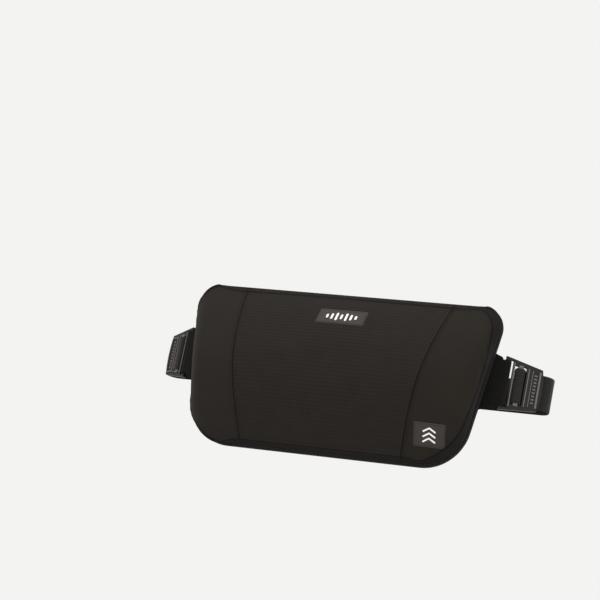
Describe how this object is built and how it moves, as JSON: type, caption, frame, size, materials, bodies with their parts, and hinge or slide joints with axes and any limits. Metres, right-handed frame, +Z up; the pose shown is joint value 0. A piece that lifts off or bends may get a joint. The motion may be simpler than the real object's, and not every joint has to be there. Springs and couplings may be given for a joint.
{
  "type": "lumbar support cushion",
  "caption": "Strap-on lumbar cushion: rounded trapezoid with a domed front, a ribbed centre panel, side buckles and a webbing strap that closes behind the chair back.",
  "frame": {"origin": "centre of the flat back face", "axes": "+Y out of the back face, towards the chair; +Z up; +X to the right seen from the front; the front bulges towards -Y"},
  "size_m": [0.462, 0.1065, 0.182],
  "materials": {
    "ribbed_knit": "black ribbed spacer knit, matt",
    "plain_knit": "charcoal smooth knit, matt",
    "edge_mesh": "black open mesh",
    "back_cloth": "black non-slip mesh backing",
    "foam": "cream polyurethane foam",
    "memory_foam": "off-white slow-recovery foam",
    "board": "dark grey firm foam board",
    "label_cloth": "woven satin label, dark grey with white marks",
    "webbing": "black polypropylene webbing",
    "tab_cloth": "black woven tab, box stitched",
    "buckle_plastic": "black acetal, fine satin texture",
    "zip_tape": "black herringbone tape",
    "zip_teeth": "black nylon coil",
    "zip_metal": "gunmetal lacquer"
  },
  "bodies": {
    "cushion": {"front_center_panel": "ribbed_knit", "side_panel_left": "plain_knit", "side_panel_right": "plain_knit", "boxing_band": "edge_mesh", "back_panel": "back_cloth", "stiffener_board": "board", "support_foam": "foam", "memory_foam": "memory_foam", "zip_tape_upper": "zip_tape", "zip_tape_lower": "zip_tape", "zip_chain": "zip_teeth", "zip_stops": "zip_metal", "front_label": "label_cloth", "side_label": "label_cloth", "anchor_tab_left": "tab_cloth", "anchor_tab_right": "tab_cloth", "strap_left": "webbing", "strap_right": "webbing", "clip_female": "buckle_plastic"},
    "left_buckle": {"side_buckle_left": "buckle_plastic"},
    "right_buckle": {"side_buckle_right": "buckle_plastic"},
    "clip_plug": {"clip_male": "buckle_plastic"},
    "upper_prong": {"clip_prong_upper": "buckle_plastic"},
    "lower_prong": {"clip_prong_lower": "buckle_plastic"},
    "slider": {"zip_slider": "zip_metal"},
    "pull": {"zip_pull": "zip_metal"}
  },
  "joints": [
    {"name": "left_buckle_tilt", "type": "hinge", "parent": "cushion", "child": "left_buckle", "pos_m": [-0.189, 0.003, 0.012], "axis": [0, 0, -1], "range_deg": [-28, 20], "deforming": ["strap_left"]},
    {"name": "right_buckle_tilt", "type": "hinge", "parent": "cushion", "child": "right_buckle", "pos_m": [0.189, 0.003, 0.012], "axis": [0, 0, 1], "range_deg": [-28, 20], "deforming": ["strap_right"]},
    {"name": "clip_release", "type": "slide", "parent": "cushion", "child": "clip_plug", "axis": [1, 0, 0], "range_m": [0, 0.03], "deforming": ["strap_right", "clip_prong_upper", "clip_prong_lower"]},
    {"name": "upper_prong_press", "type": "hinge", "parent": "clip_plug", "child": "upper_prong", "pos_m": [0.011, 0.051, 0.027], "axis": [0, -1, 0], "range_deg": [0, 12], "stiffness_Nm_per_rad": 0.6},
    {"name": "lower_prong_press", "type": "hinge", "parent": "clip_plug", "child": "lower_prong", "pos_m": [0.011, 0.051, -0.003], "axis": [0, 1, 0], "range_deg": [0, 12], "stiffness_Nm_per_rad": 0.6},
    {"name": "zip_slide", "type": "slide", "parent": "cushion", "child": "slider", "axis": [1, 0, 0], "range_m": [0, 0.19]},
    {"name": "zip_pull_swing", "type": "hinge", "parent": "slider", "child": "pull", "pos_m": [-0.095, 0.0046, -0.066], "axis": [0, 0, 1], "range_deg": [0, 150]}
  ],
  "couplings": [
    {"joint": "lower_prong_press", "follows": "upper_prong_press", "ratio": 1}
  ]
}
